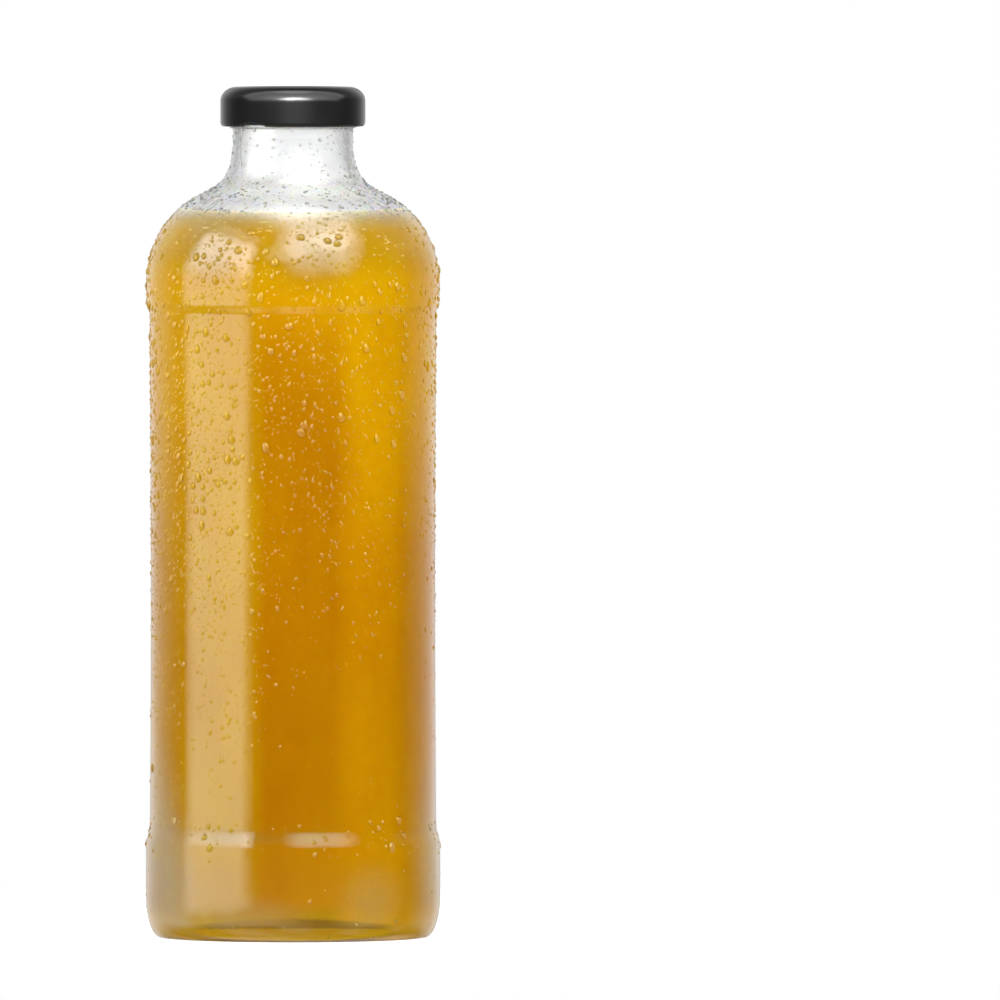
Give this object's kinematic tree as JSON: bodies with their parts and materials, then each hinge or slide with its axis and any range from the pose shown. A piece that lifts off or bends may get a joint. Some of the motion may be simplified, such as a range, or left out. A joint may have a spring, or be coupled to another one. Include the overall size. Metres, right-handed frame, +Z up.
{
  "type": "glass lemonade bottle",
  "caption": "Round clear glass bottle of golden lemonade with a plain panel between stepped bands, a domed shoulder, a short flared neck and a black twist-off lug cap, beaded with cold drops.",
  "frame": {"origin": "centre of the bearing ring, on the surface the bottle stands on", "axes": "+Z up along the bottle's axis; the side seen in the picture faces -Y, with +X to its right"},
  "size_m": [0.0842, 0.0842, 0.2434],
  "materials": {
    "clear_glass": "clear flint glass, smooth, with a slightly frosted wet film",
    "lemonade": "cloudy golden yellow drink, slightly paler towards the top",
    "black_enamel": "glossy black enamel on tinplate",
    "water": "clear drops of condensation"
  },
  "bodies": {
    "root": {"bottle_glass": "clear_glass", "lemonade": "lemonade", "cap": "black_enamel"}
  },
  "joints": []
}
